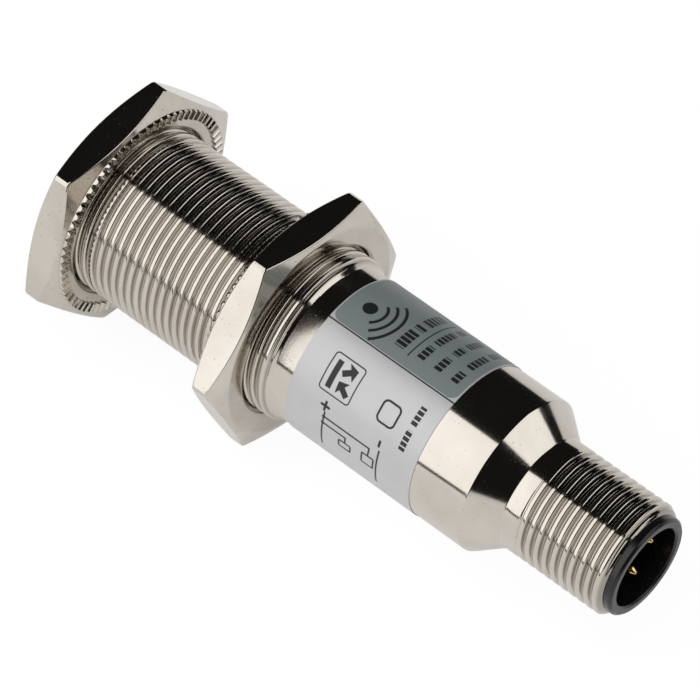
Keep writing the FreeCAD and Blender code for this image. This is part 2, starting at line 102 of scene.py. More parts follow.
class Value:
    """One output socket of a node tree that takes part in arithmetic."""

    def __init__(self, graph: "Graph", socket: bpy.types.NodeSocket) -> None:
        """Hold the graph and the socket."""
        self.graph = graph
        self.socket = socket

    __add__ = __radd__ = calculation("ADD", "Sum.")
    __sub__ = calculation("SUBTRACT", "Difference.")
    __rsub__ = calculation("SUBTRACT", "Difference with this value taken away.", True)
    __mul__ = __rmul__ = calculation("MULTIPLY", "Product.")
    __truediv__ = calculation("DIVIDE", "Quotient.")
    __pow__ = calculation("POWER", "Power.")
    __abs__ = calculation("ABSOLUTE", "Size without sign.")
    fraction = calculation("FRACT", "What is left above the whole number below.")
    at_least = calculation("MAXIMUM", "The larger of the two.")
    at_most = calculation("MINIMUM", "The smaller of the two.")
    sine = calculation("SINE", "Sine of an angle in radians.")
    cosine = calculation("COSINE", "Cosine of an angle in radians.")


Number = Value | float


class Graph:
    """A node tree that is written as expressions."""

    def __init__(self, tree: bpy.types.NodeTree) -> None:
        """Hold the tree that nodes are added to."""
        self.tree = tree

    def node(
        self,
        kind: str,
        settings: dict[str, object] | None = None,
        inputs: dict[str | int, object] | None = None,
    ) -> bpy.types.Node:
        """Add one node.

        Args:
            kind: The node's type name.
            settings: Properties that are set before the sockets are filled.
            inputs: Values or links of its input sockets, by name or place.

        Returns:
            The new node.
        """
        made = self.tree.nodes.new(kind)
        for name, setting in (settings or {}).items():
            setattr(made, name, setting)
        for name, given in (inputs or {}).items():
            socket = made.inputs[name]
            if isinstance(given, Value):
                self.tree.links.new(given.socket, socket)
            else:
                socket.default_value = given
        return made

    def out(self, node: bpy.types.Node, name: str | int = 0) -> Value:
        """One output of a node, as a value."""
        return Value(self, node.outputs[name])

    def maths(self, operation: str, *given: Number) -> Value:
        """A Math node on numbers or values."""
        return self.out(self.node("ShaderNodeMath", {"operation": operation}, dict(enumerate(given))))

    def step(self, value: Value, low: Number, high: Number) -> Value:
        """A smooth rise from 0 to 1 while a value goes from low to high."""
        limits = {"Value": value, "From Min": low, "From Max": high}
        return self.out(self.node("ShaderNodeMapRange", {"interpolation_type": "SMOOTHSTEP"}, limits))

    def vector(self, x: Number, y: Number, z: Number) -> Value:
        """Three numbers as one vector."""
        return self.out(self.node("ShaderNodeCombineXYZ", None, {"X": x, "Y": y, "Z": z}))

    def parts(self, vector: Value) -> tuple[Value, Value, Value]:
        """The three numbers of a vector."""
        split = self.node("ShaderNodeSeparateXYZ", None, {"Vector": vector})
        return self.out(split, "X"), self.out(split, "Y"), self.out(split, "Z")


class Shading(Graph):
    """A material's node tree, with the barrel's own coordinates."""

    def __init__(self, material: bpy.types.Material) -> None:
        """Empty the material's tree and measure the surface in millimetres."""
        material.use_nodes = True
        super().__init__(material.node_tree)
        self.tree.nodes.clear()
        place = self.out(self.node("ShaderNodeTexCoord"), "Object")
        scaled = self.node("ShaderNodeVectorMath", {"operation": "SCALE"}, {0: place, "Scale": 1 / MM})
        self.place = self.out(scaled)
        self.x, self.y, self.z = self.parts(self.place)
        self.radius = (self.y * self.y + self.z * self.z) ** 0.5
        self.angle = self.maths("ARCTAN2", 0.0 - self.y, self.z)

    def noise(self, place: Value, scale: float, detail: float = 2.0, blur: float = 0.5) -> Value:
        """Fractal noise from 0 to 1.

        Args:
            place: Where it is read.
            scale: Waves a unit of place.
            detail: Octaves.
            blur: How strong the fine octaves are.

        Returns:
            The noise value.
        """
        inputs = {"Vector": place, "Scale": scale, "Detail": detail, "Roughness": blur}
        return self.out(self.node("ShaderNodeTexNoise", None, inputs), 0)

    def cells(self, place: Value, scale: float) -> Value:
        """Distance to the nearest of scattered points."""
        return self.out(self.node("ShaderNodeTexVoronoi", None, {"Vector": place, "Scale": scale}), 0)

    def tint(self, share: Number, low: Colour | Value, high: Colour | Value) -> Value:
        """A colour between two colours.

        Args:
            share: 0 for low, 1 for high.
            low: First colour.
            high: Second colour.

        Returns:
            The mixed colour.
        """
        first, second = ((*c, 1.0) if isinstance(c, tuple) else c for c in (low, high))
        mixed = self.node("ShaderNodeMix", {"data_type": "RGBA"}, {0: share, 6: first, 7: second})
        return self.out(mixed, 2)

    def relief(self, height: Value, distance: float, strength: float = 1.0) -> Value:
        """A normal bent by a height; distance is the height of 1, in millimetres."""
        inputs = {"Height": height, "Distance": distance * MM, "Strength": strength}
        return self.out(self.node("ShaderNodeBump", None, inputs))

    def surface(self, links: dict[str, object], constants: dict[str, object]) -> None:
        """The shader and the output.

        Args:
            links: What varies over the surface, by socket name.
            constants: What is the same all over, by socket name.
        """
        shader = self.node("ShaderNodeBsdfPrincipled", None, {**constants, **links})
        self.node("ShaderNodeOutputMaterial", None, {"Surface": self.out(shader)})


# ---------------------------------------------------------------- finishes
@dataclass(frozen=True)
class Finish:
    """A material that is made once and shared by the pieces that have it."""

    name: str

    def material(self) -> bpy.types.Material:
        """The finished material."""
        made = bpy.data.materials.get(self.name)
        if made is None:
            made = bpy.data.materials.new(self.name)
            self.paint(Shading(made))
        return made

    def paint(self, shade: Shading) -> None:
        """Add this finish's nodes."""
        raise NotImplementedError


@dataclass(frozen=True)
class Plating(Finish):
    """Bright plate on turned metal: tool rings, pin-prick specks and hairline scratches."""

    bright: Colour = (0.655, 0.61, 0.55)
    dull: Colour = (0.59, 0.545, 0.48)
    # Dark colour of the specks, also the colour of the painted shade in thread roots.
    speck_and_shade: Colour = (0.2, 0.18, 0.15)
    polish: float = 0.075
    ring_height: float = 0.0007
    speck_share: float = 0.18
    scratch_height: float = 0.0012
    ring_scale: float = 9.0
    cloud_scale: float = 0.22
    hair_scale: float = 0.9
    speck_scale: float = 2.6

    def paint(self, shade: Shading) -> None:
        """Rings follow the station and the radius, so they run round every turned surface."""
        ring_place = shade.vector(
            shade.x * self.ring_scale, shade.radius * self.ring_scale, shade.angle * 0.7,
        )
        rings = shade.noise(ring_place, 1.0, 3.0, 0.7)
        cloud = shade.noise(shade.place, self.cloud_scale, 3.0)
        hair_place = shade.vector(shade.x * 0.5 + shade.y * 0.3, shade.y * 5.0, shade.z * 5.0 - shade.x * 1.7)
        hair = shade.noise(hair_place, self.hair_scale, 1.0)
        scratches = (1.0 - shade.step(abs(hair - 0.5), 0.002, 0.012)) * shade.step(cloud, 0.46, 0.6)
        dots = 1.0 - shade.step(shade.cells(shade.place, self.speck_scale), 0.05, self.speck_share)
        specks = dots * shade.step(shade.noise(shade.place, 1.3), 0.5, 0.6)
        plate = shade.tint(shade.step(cloud, 0.3, 0.7), self.dull, self.bright)
        # Specks and painted shade in thread roots both pull the plate towards the dark colour.
        specks_and_root_shade = (specks * 0.75).at_least(self.painted_root_shade(shade))
        colour = shade.tint(specks_and_root_shade, plate, self.speck_and_shade)
        roughness = self.polish + rings * 0.05 + scratches * 0.1 + specks * 0.35
        height = rings * (self.ring_height / self.scratch_height) - scratches * 0.35 - specks
        normal = shade.relief(height, self.scratch_height)
        links = {"Base Color": colour, "Roughness": roughness, "Normal": normal}
        shade.surface(links, {"Metallic": 1.0})

    def painted_root_shade(self, shade: Shading) -> Number:
        """Plain plate has nowhere for soil to stay."""
        return 0.0


@dataclass(frozen=True)
class ThreadedPlating(Plating):
    """Plate on the housing, dulled where cutting oil has dried in the roots of its two threads."""

    main_root: Point = (8.62, 8.92)
    main_end: float = 28.9
    plug_root: Point = (5.62, 5.92)
    plug_start: float = 57.4
    # Strength of the painted shade in the thread roots.
    painted_root_shade_share: float = 0.6

    def painted_root_shade(self, shade: Shading) -> Value:
        """More the deeper a point lies in either thread."""
        before = 1.0 - shade.step(shade.x, self.main_end - 0.3, self.main_end)
        beyond = shade.step(shade.x, self.plug_start - 0.2, self.plug_start)
        main = (1.0 - shade.step(shade.radius, *self.main_root)) * before
        plug = (1.0 - shade.step(shade.radius, *self.plug_root)) * beyond
        return (main + plug) * self.painted_root_shade_share


@dataclass(frozen=True)
class Moulding(Finish):
    """A solid-coloured material with a clouded tone, a fine grain and a little dust."""

    colour: Colour = (0.02, 0.02, 0.021)
    cloud: Colour = (0.03, 0.029, 0.028)
    roughness: float = 0.38
    grain: float = 7.0
    grain_height: float = 0.004
    coat: float = 0.0
    cloud_scale: float = 0.6

    def paint(self, shade: Shading) -> None:
        """Grain gives the relief, and cloud and grain together vary the sheen."""
        grain = shade.noise(shade.place, self.grain, 3.0, 0.6)
        cloud = shade.noise(shade.place, self.cloud_scale, 2.0)
        colour = shade.tint(shade.step(cloud * 0.7 + grain * 0.3, 0.35, 0.65), self.colour, self.cloud)
        roughness = self.roughness + (grain - 0.5) * 0.18 + (cloud - 0.5) * 0.12
        normal = shade.relief(grain, self.grain_height)
        links = {"Base Color": colour, "Roughness": roughness, "Normal": normal}
        shade.surface(links, {"Coat Weight": self.coat, "Coat Roughness": 0.08})


@dataclass(frozen=True)
class Laminate(Finish):
    """Solder mask over copper tracks on glass laminate."""

    mask: Colour = (0.012, 0.13, 0.05)
    track: Colour = (0.03, 0.24, 0.09)
    spacing: float = 0.8
    edges: Point = (0.14, 0.2)
    bend: float = 1.6
    weave: float = 9.0

    def paint(self, shade: Shading) -> None:
        """Tracks run along the board with a noise that bends them."""
        drift = shade.noise(shade.place, 0.5, 1.0)
        lane = ((shade.y + drift * self.bend) / self.spacing).fraction()
        tracks = 1.0 - shade.step(abs(lane - 0.5), *self.edges)
        weave = (shade.x * self.weave).sine() * (shade.y * self.weave).sine()
        colour = shade.tint(tracks, self.mask, self.track)
        normal = shade.relief(tracks + weave * 0.08, 0.03)
        shade.surface({"Base Color": colour, "Roughness": 0.32 - tracks * 0.06, "Normal": normal}, {})


@dataclass(frozen=True)
class LeadColours(Finish):
    """Lead insulation in four colours, by the quarter round the axis that a point lies in."""

    colours: tuple[Colour, ...] = (
        (0.16, 0.06, 0.025), (0.75, 0.73, 0.68), (0.02, 0.06, 0.3), (0.015, 0.015, 0.015),
    )

    def paint(self, shade: Shading) -> None:
        """The sign of y and of z picks the colour."""
        far, high = shade.step(shade.y, -0.01, 0.01), shade.step(shade.z, -0.01, 0.01)
        upper = shade.tint(far, self.colours[0], self.colours[1])
        lower = shade.tint(far, self.colours[2], self.colours[3])
        grain = shade.noise(shade.place, 6.0)
        links = {
            "Base Color": shade.tint(high, lower, upper),
            "Roughness": 0.35 + grain * 0.2,
            "Normal": shade.relief(grain, 0.004),
        }
        shade.surface(links, {})


class Drawing:
    """Flat shapes printed on the barrel, in millimetres along it and round it."""

    SOFT = 0.035

    def __init__(self, shade: Shading, radius: float) -> None:
        """Measure along the barrel and round it at the printed radius."""
        self.shade = shade
        self.along = shade.x
        self.around = shade.angle * radius
        self.radius = radius

    def arc(self, degrees: float) -> float:
        """Length round the barrel of an angle."""
        return math.radians(degrees) * self.radius

    def inside(self, distance: Value) -> Value:
        """1 where a signed distance is below zero, with a soft edge."""
        return 1.0 - self.shade.step(distance, -self.SOFT, self.SOFT)

    def plate(self, low: Point, high: Point, corner: float) -> Value:
        """Signed distance to a rectangle with round corners.

        Args:
            low: Lowest station and angle.
            high: Highest station and angle.
            corner: Corner radius.

        Returns:
            The distance, below zero inside.
        """
        ends = [(low[0], high[0]), (self.arc(low[1]), self.arc(high[1]))]
        beyond = []
        for coordinate, (first, last) in zip((self.along, self.around), ends):
            half = (last - first) / 2 - corner
            beyond.append(abs(coordinate - (first + last) / 2) - half)
        over = [b.at_least(0.0) for b in beyond]
        outside = (over[0] * over[0] + over[1] * over[1]) ** 0.5
        return outside + beyond[0].at_least(beyond[1]).at_most(0.0) - corner

    def bar(self, low: Point, high: Point, corner: float = 0.08) -> Value:
        """A filled rectangle."""
        return self.inside(self.plate(low, high, corner))

    def border(self, low: Point, high: Point, corner: float, line: float) -> Value:
        """A rectangle's outline."""
        return self.inside(abs(self.plate(low, high, corner)) - line / 2)

    def stroke(self, start: Point, end: Point, line: float) -> Value:
        """A straight line with round ends.

        Args:
            start: Station and angle of one end.
            end: Station and angle of the other.
            line: Width.

        Returns:
            The mask.
        """
        ax, ay = start[0], self.arc(start[1])
        bx, by = end[0] - ax, self.arc(end[1]) - ay
        dx, dy = self.along - ax, self.around - ay
        share = ((dx * bx + dy * by) / (bx * bx + by * by)).at_least(0.0).at_most(1.0)
        ex, ey = dx - share * bx, dy - share * by
        return self.inside((ex * ex + ey * ey) ** 0.5 - line / 2)

    def together(self, shapes: list[Value]) -> Value:
        """The union of several masks."""
        return reduce(Value.at_least, shapes)

    def blocks(self, width: float) -> Value:
        """1 on plain blocks set side by side round the barrel, 0 in the gaps between them."""
        lane = (self.around / width).fraction()
        return 1.0 - self.shade.step(abs(lane - 0.5), 0.33, 0.41)

    def disc(self, centre: Point, radius: float) -> Value:
        """A filled disc."""
        return self.inside(self.distance(centre) - radius)

    def distance(self, centre: Point) -> Value:
        """Distance from a point."""
        dx, dy = self.along - centre[0], self.around - self.arc(centre[1])
        return (dx * dx + dy * dy) ** 0.5

    def arrow(self, tail: Point, tip: Point, shaft: float, head: float) -> Value:
        """A fat arrow.

        Args:
            tail: Station and angle of its tail.
            tip: Station and angle of its point.
            shaft: Width of the shaft.
            head: Length of the head, which is as wide as 1.15 times that on each side.

        Returns:
            The mask.
        """
        tx, ty = tip[0], self.arc(tip[1])
        run = Vector((tx - tail[0], ty - self.arc(tail[1])))
        length, way = run.length, run.normalized()
        dx, dy = self.along - tx, self.around - ty
        back = 0.0 - (dx * way.x + dy * way.y)
        side = abs(dy * way.x - dx * way.y)
        point = (side - back * 1.15).at_least(back - head).at_least(0.0 - back)
        rod = (side - shaft / 2).at_least(back - length).at_least(head * 0.5 - back)
        return self.inside(point.at_most(rod))


@dataclass(frozen=True)
class PrintedFilm(Finish):
    """Satin silver film with a darker block and black print, all plain bars and symbols."""

    silver: Colour = (0.56, 0.56, 0.57)
    silver_cloud: Colour = (0.62, 0.62, 0.625)
    slate: Colour = (0.205, 0.242, 0.238)
    ink: Colour = (0.012, 0.012, 0.014)
    radius: float = 8.43
    block_width: float = 0.56
    dark_block: tuple[Point, Point] = ((31.35, -168.0), (46.45, 14.2))
    dark_corner: float = 0.9
    divide: tuple[Point, Point] = ((31.2, 15.2), (46.6, 15.2))
    mark_centre: Point = (33.6, -6.0)
    mark_disc: float = 0.75
    mark_waves: tuple[float, ...] = (1.7, 2.6, 3.5)
    sign_line: float = 0.28
    wire_line: float = 0.2
    signs: tuple[tuple[Point, Point], ...] = (
        ((35.15, 65.6), (36.05, 65.6)), ((35.6, 62.6), (35.6, 68.6)), ((42.3, 63.6), (42.3, 67.2)),
    )
    wires: tuple[tuple[Point, Point], ...] = (
        ((35.75, 70.0), (35.75, 100.0)), ((35.75, 73.5), (41.4, 73.5)), ((35.75, 78.5), (38.6, 78.5)),
        ((38.6, 78.5), (38.6, 83.0)), ((41.4, 73.5), (41.4, 80.0)), ((42.5, 70.4), (42.5, 100.0)),
    )
    joints: tuple[Point, ...] = ((35.75, 73.5), (35.75, 78.5))
    loads: tuple[tuple[Point, Point], ...] = (((37.9, 83.0), (39.3, 88.0)), ((40.7, 80.0), (42.1, 88.0)))
    words: tuple[tuple[float, float, tuple[float, ...]], ...] = (
        (37.95, 1.2, (5, -11, -14, -19, -22, -43)),
        (40.55, 0.85, (4, -9, -13, -32, -36, -44)),
        (42.6, 0.85, (4, -9, -14, -24, -28, -46)),
        (44.65, 0.85, (4, -6, -12, -30, -34, -47)),
    )

    def paint(self, shade: Shading) -> None:
        """Base tones first, then the ink."""
        draw = Drawing(shade, self.radius)
        block = draw.bar(*self.dark_block, self.dark_corner)
        line = draw.stroke(*self.divide, 0.16)
        shapes = [line, *self.mark(draw), *self.lines(draw), *self.symbol(draw), *self.wiring(draw)]
        ink = draw.together(shapes)
        fine = shade.noise(shade.place, 9.0, 2.0)
        cloud = shade.noise(shade.place, 0.5, 2.0)
        silver = shade.tint(cloud, self.silver, self.silver_cloud)
        film = shade.tint(block, silver, self.slate)
        bare = (1.0 - block) * (1.0 - ink)
        colour = shade.tint(ink * (0.94 + fine * 0.06), film, self.ink)
        roughness = 0.36 + fine * 0.1 - ink * 0.06
        normal = shade.relief(fine * 0.25 + ink * 0.5, 0.006)
        links = {"Base Color": colour, "Roughness": roughness, "Normal": normal, "Metallic": bare * 0.35}
        shade.surface(links, {"Specular IOR Level": 0.25, "Coat Weight": 0.04, "Coat Roughness": 0.2})

    def mark(self, draw: Drawing) -> list[Value]:
        """A plain sensing pictogram: a disc and three waves."""
        centre = self.mark_centre
        reach = draw.distance(centre)
        fan = draw.inside(draw.along * -1.0 + centre[0] + abs(draw.around - draw.arc(centre[1])) * 0.75)
        waves = [draw.inside(abs(reach - r) - 0.16) * fan for r in self.mark_waves]
        return [draw.disc(centre, self.mark_disc), *waves]

    def lines(self, draw: Drawing) -> list[Value]:
        """Plain bars in rows, with a rule under the first row and two rows on the silver."""
        rows = []
        for start, height, ends in self.words:
            for high, low in zip(ends[::2], ends[1::2]):
                rows.append(draw.bar((start, float(low)), (start + height, float(high)), 0.1))
        rows.append(draw.bar((44.25, 28.0), (44.95, 42.0)))
        rows.append(draw.bar((44.25, 45.0), (44.95, 60.0)))
        rule = draw.stroke((39.85, 6.5), (39.85, -44.0), 0.14)
        frame_mark = draw.border((40.9, 37.0), (42.9, 52.0), 0.5, 0.22)
        return [draw.together(rows) * draw.blocks(self.block_width), rule, frame_mark]

    def symbol(self, draw: Drawing) -> list[Value]:
        """The square symbol for a sensor that looks for light coming back."""
        return [
            draw.border((34.15, 30.0), (37.75, 56.5), 0.35, 0.14),
            draw.bar((34.72, 33.6), (35.35, 53.6), 0.05),
            draw.arrow((35.75, 40.6), (37.15, 33.8), 0.62, 0.8),
            draw.arrow((37.25, 52.4), (35.85, 45.6), 0.62, 0.8),
        ]

    def wiring(self, draw: Drawing) -> list[Value]:
        """A plus, a minus and the lines of a small circuit."""
        return [
            *(draw.stroke(*ends, self.sign_line) for ends in self.signs),
            *(draw.stroke(*ends, self.wire_line) for ends in self.wires),
            *(draw.disc(centre, 0.2) for centre in self.joints),
            *(draw.border(*corners, 0.1, self.wire_line) for corners in self.loads),
        ]


class Slot(Enum):
    """The record's finish names that pieces are dressed from."""

    HOUSING = "nickel_plated_brass"
    NUT = "nickel_plated_nut"
    FILM = "printed_film"
    LENS = "clear_lens"
    RUBBER = "seal_rubber"
    BLACK = "black_moulding"
    DIODE = "diode_epoxy"
    BOARD = "board_laminate"
    CHIP = "chip_epoxy"
    CERAMIC = "capacitor_ceramic"
    TIN = "tinned_metal"
    SLEEVE = "sleeve_film"
    LEADS = "wire_insulation"
    RESIN = "potting_resin"
    GOLD = "gold_plate"


FINISHES: dict[Slot, Finish] = {
    Slot.HOUSING: ThreadedPlating("housing_plate"),
    Slot.NUT: Plating("nut_plate", speck_share=0.25, scratch_height=0.0026, polish=0.085),
    Slot.FILM: PrintedFilm("label_film"),
    Slot.LENS: Moulding("lens_acrylic", (0.07, 0.006, 0.008), (0.1, 0.012, 0.014), 0.06, 2.0, 0.001, 1.0),
    Slot.RUBBER: Moulding("seal_nitrile", (0.02, 0.02, 0.02), (0.035, 0.034, 0.033), 0.55, 5.0, 0.006),
    Slot.BLACK: Moulding("carrier_nylon", (0.004, 0.004, 0.004), (0.007, 0.007, 0.007), 0.26, 9.0, 0.002),
    Slot.DIODE: Moulding("diode_lens", (0.12, 0.17, 0.24), (0.18, 0.24, 0.32), 0.1, 3.0, 0.001, 0.8),
    Slot.BOARD: Laminate("board_mask"),
    Slot.CHIP: Moulding("chip_epoxy_black", (0.02, 0.02, 0.022), (0.035, 0.035, 0.038), 0.5, 12.0, 0.004),
    Slot.CERAMIC: Moulding("capacitor_tan", (0.36, 0.23, 0.12), (0.46, 0.31, 0.18), 0.35, 10.0, 0.002),
    Slot.TIN: Plating("tinned_leads", (0.72, 0.72, 0.73), (0.6, 0.6, 0.61), polish=0.25),
    Slot.SLEEVE: Moulding("sleeve_polyester", (0.6, 0.57, 0.47), (0.68, 0.65, 0.55), 0.3, 4.0, 0.003, 0.3),
    Slot.LEADS: LeadColours("lead_insulation"),
    Slot.RESIN: Moulding("potting_black", (0.012, 0.012, 0.014), (0.03, 0.03, 0.033), 0.18, 2.5, 0.02, 0.5),
    Slot.GOLD: Plating("contact_gold", (0.93, 0.66, 0.26), (0.8, 0.53, 0.18), (0.35, 0.2, 0.06), 0.14),
}


# ---------------------------------------------------------------- meshes
def softened(corners: list[Point], radius: float, steps: int = 3) -> list[Point]:
    """Round the corners of an open line.

    Args:
        corners: The line's points.
        radius: How far from each corner the bend starts, at most 0.4 of a neighbouring run.
        steps: Pieces in each bend.

    Returns:
        The line with its inner corners rounded, and a point just outside each bend that keeps its
        neighbours flat.
    """
    line = [corners[0]]
    for before, corner, after in zip(corners, corners[1:], corners[2:]):
        b, c, a = Vector(before), Vector(corner), Vector(after)
        reach = min(radius, 0.4 * (b - c).length, 0.4 * (a - c).length)
        first, last = c + (b - c).normalized() * reach, c + (a - c).normalized() * reach
        line.append(tuple(c + (first - c) * 1.2))
        for step in range(steps + 1):
            share = step / steps
            bend = first * (1 - share) ** 2 + c * 2 * share * (1 - share) + last * share**2
            line.append(tuple(bend))
        line.append(tuple(c + (last - c) * 1.2))
    return [*line, corners[-1]]


def made(name: str, points: np.ndarray, faces: list[tuple[int, ...]]) -> bpy.types.Object:
    """A clean mesh object from points in millimetres.

    Args:
        name: The piece's name.
        points: One row of x, y and z for each vertex.
        faces: Vertex numbers of each face.

    Returns:
        The object, with merged doubles, outward normals and smooth shading.
    """
    mesh = bpy.data.meshes.new(name)
    mesh.from_pydata((np.asarray(points) * MM).tolist(), [], faces)
    clean(mesh)
    item = bpy.data.objects.new(name, mesh)
    bpy.context.scene.collection.objects.link(item)
    return item


def clean(mesh: bpy.types.Mesh) -> None:
    """Merge a mesh's doubles and turn its faces outwards."""
    work = bmesh.new()
    work.from_mesh(mesh)
    bmesh.ops.remove_doubles(work, verts=work.verts, dist=DOUBLE * MM)
    bmesh.ops.dissolve_degenerate(work, edges=work.edges, dist=SLIVER * MM)
    bmesh.ops.recalc_face_normals(work, faces=work.faces)
    work.to_mesh(mesh)
    work.free()


def bands(lines: int, places: int, joined: bool, closed: bool) -> list[tuple[int, ...]]:
    """Four-sided faces between neighbouring lines of vertices.

    Args:
        lines: How many lines.
        places: Vertices in each line.
        joined: Whether the last line joins the first.
        closed: Whether each line's end joins its start.

    Returns:
        The faces.
    """
    return [
        (line * places + place, line * places + (place + 1) % places,
         (line + 1) % lines * places + (place + 1) % places, (line + 1) % lines * places + place)
        for line in range(lines if joined else lines - 1)
        for place in range(places if closed else places - 1)
    ]


def after(count: int, faces: list[tuple[int, ...]]) -> list[tuple[int, ...]]:
    """The same faces, numbered after this many other vertices."""
    return [tuple(number + count for number in face) for face in faces]


def turned(outlines: list[list[Point]], angles: np.ndarray, closed: bool) -> tuple[np.ndarray, list]:
    """Sweep a line of stations and radii round the axis.

    Args:
        outlines: One outline for every angle, or a single one for them all.
        angles: The angles, in radians, once round.
        closed: Whether each outline's end joins its start.

    Returns:
        The points in millimetres and the faces.
    """
    count = len(angles)
    every = outlines if len(outlines) == count else outlines * count
    points = [
        (station, -radius * math.sin(angle), radius * math.cos(angle))
        for angle, outline in zip(angles, every)
        for station, radius in outline
    ]
    return np.array(points), bands(count, len(outlines[0]), True, closed)


def once_round(segments: int) -> np.ndarray:
    """Evenly spaced angles, once round."""
    return np.arange(segments) * 2 * math.pi / segments


def smooth(item: bpy.types.Object, degrees: float) -> None:
    """Smooth shading, with edges that turn by more than an angle left sharp."""
    item.data.polygons.foreach_set("use_smooth", [True] * len(item.data.polygons))
    item.data.set_sharp_from_angle(angle=math.radians(degrees))


def dress(item: bpy.types.Object, slot: Slot) -> None:
    """Give a piece the one material of its slot."""
    item.data.materials.clear()
    item.data.materials.append(FINISHES[slot].material())


def settle(item: bpy.types.Object, body: str, slot: Slot, *nodes: str) -> None:
    """Dress a finished piece, let it ride on its body and stand for its nodes.

    Args:
        item: The piece.
        body: The body that it moves with.
        slot: Its finish.
        nodes: The nodes that it stands for.
    """
    dress(item, slot)
    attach(item, body)
    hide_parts(*nodes)
    item.data.calc_loop_triangles()
    log.info("%s: %d triangles", item.name, len(item.data.loop_triangles))


# ---------------------------------------------------------------- geometry trees
class Tree(Graph):
    """A geometry node tree with named inputs."""

    def __init__(self, name: str, sockets: dict[str, str]) -> None:
        """Make the tree.

        Args:
            name: The tree's name.
            sockets: Type of each named input, after the geometry that comes in.
        """
        super().__init__(bpy.data.node_groups.new(name, "GeometryNodeTree"))
        face = self.tree.interface
        face.new_socket("Geometry", in_out="OUTPUT", socket_type="NodeSocketGeometry")
        face.new_socket("Geometry", in_out="INPUT", socket_type="NodeSocketGeometry")
        for label, kind in sockets.items():
            face.new_socket(label, in_out="INPUT", socket_type=f"NodeSocket{kind}")
        self.given = self.node("NodeGroupInput")

    def input(self, name: str) -> Value:
        """One of the tree's inputs."""
        return self.out(self.given, name)

    def joined(self, pieces: list[Value]) -> Value:
        """Several geometries as one."""
        join = self.node("GeometryNodeJoinGeometry")
        for piece in pieces:
            self.tree.links.new(piece.socket, join.inputs[0])
        return self.out(join)

    def finish(self, geometry: Value, material: Value | None) -> None:
        """Realize, shade smooth, give the material and send the result out."""
        real = self.out(self.node("GeometryNodeRealizeInstances", None, {"Geometry": geometry}))
        soft = self.out(self.node("GeometryNodeSetShadeSmooth", None, {"Geometry": real}))
        if material is not None:
            inputs = {"Geometry": soft, "Material": material}
            soft = self.out(self.node("GeometryNodeSetMaterial", None, inputs))
        self.node("NodeGroupOutput", None, {"Geometry": soft})

    def apply(self, item: bpy.types.Object, values: dict[str, object]) -> None:
        """Run the tree on an object and keep the result as its mesh.

        Args:
            item: The object.
            values: The named inputs.
        """
        modifier = item.modifiers.new(self.tree.name, "NODES")
        modifier.node_group = self.tree
        for socket in self.tree.interface.items_tree:
            if socket.in_out == "INPUT" and socket.name in values:
                modifier[socket.identifier] = values[socket.name]
        state = bpy.context.evaluated_depsgraph_get()
        mesh = bpy.data.meshes.new_from_object(item.evaluated_get(state))
        item.modifiers.remove(modifier)
        item.data = mesh


class ThreadTree(Tree):
    """A helical thread on a cylinder, with straight rings at both ends."""

    SOCKETS = (
        "Radius", "Depth", "Pitch", "Start", "End", "Start Drop", "End Drop", "Fade",
        "First Crest", "Turns", "Crest Share", "Root Share",
    )

    def __init__(self) -> None:
        """Bend a flat grid round the axis; its rows follow the helix and stop at the two ends."""
        kinds = dict.fromkeys(self.SOCKETS, "Float")
        super().__init__("helical_thread", {**kinds, "Rows": "Int", "Segments": "Int"})
        pick = self.input
        sizes = {
            "Size X": pick("Turns"),
            "Size Y": 1.0,
            "Vertices X": pick("Rows") + 1.0,
            "Vertices Y": pick("Segments") + 1.0,
        }
        grid = self.out(self.node("GeometryNodeMeshGrid", None, sizes))
        flat_x, flat_y, _ = self.parts(self.out(self.node("GeometryNodeInputPosition")))
        lap = flat_y + 0.5
        raw = pick("First Crest") + (flat_x + pick("Turns") * 0.5 + lap) * pick("Pitch")
        station = raw.at_least(pick("Start")).at_most(pick("End"))
        phase = ((station - pick("First Crest")) / pick("Pitch") - lap).fraction()
        from_crest = phase.at_most(1.0 - phase)
        groove = self.step(from_crest, pick("Crest Share"), pick("Root Share"))
        fade = ((station - pick("Start")) / pick("Fade")).at_most(1.0)
        cut = pick("Radius") - pick("Depth") * groove * fade
        rise = pick("Radius") - pick("Start Drop") + station - pick("Start")
        fall = pick("Radius") - pick("End Drop") + pick("End") - station
        radius = cut.at_most(rise).at_most(fall)
        angle = lap * (2 * math.pi)
        place = self.vector(station, radius * angle.sine() * -1.0, radius * angle.cosine())
        bent = self.node("GeometryNodeSetPosition", None, {"Geometry": grid, "Position": place})
        self.node("NodeGroupOutput", None, {"Geometry": self.out(bent)})


class ThreadedTree(Tree):
    """A turned blank with threads on it, merged into one shell."""

    def __init__(self, threads: list[dict[str, object]]) -> None:
        """Join the blank and one thread for each set of sizes, and close the seams."""
        super().__init__("threaded_blank", {"Seam": "Float", "Material": "Material"})
        thread = ThreadTree().tree
        pieces = [self.input("Geometry")]
        for sizes in threads:
            pieces.append(self.out(self.node("GeometryNodeGroup", {"node_tree": thread}, sizes)))
        inputs = {"Geometry": self.joined(pieces), "Distance": self.input("Seam")}
        self.finish(self.out(self.node("GeometryNodeMergeByDistance", None, inputs)), self.input("Material"))


class RingTree(Tree):
    """Copies of one object set round the axis, joined to the piece that carries them."""

    def __init__(self) -> None:
        """Put the copies at equal angles."""
        sockets = {"Copy": "Object", "Count": "Int", "First Angle": "Float", "Material": "Material"}
        super().__init__("copies_round_axis", sockets)
        points = self.out(self.node("GeometryNodePoints", None, {"Count": self.input("Count")}))
        index = self.out(self.node("GeometryNodeInputIndex"))
        angle = self.input("First Angle") + index * (2 * math.pi) / self.input("Count")
        turn = self.node("FunctionNodeEulerToRotation", None, {0: self.vector(angle, 0.0, 0.0)})
        copy = self.node("GeometryNodeObjectInfo", None, {"Object": self.input("Copy")})
        inputs = {"Points": points, "Instance": self.out(copy, "Geometry"), "Rotation": self.out(turn)}
        ring = self.out(self.node("GeometryNodeInstanceOnPoints", None, inputs))
        self.finish(self.joined([self.input("Geometry"), ring]), self.input("Material"))


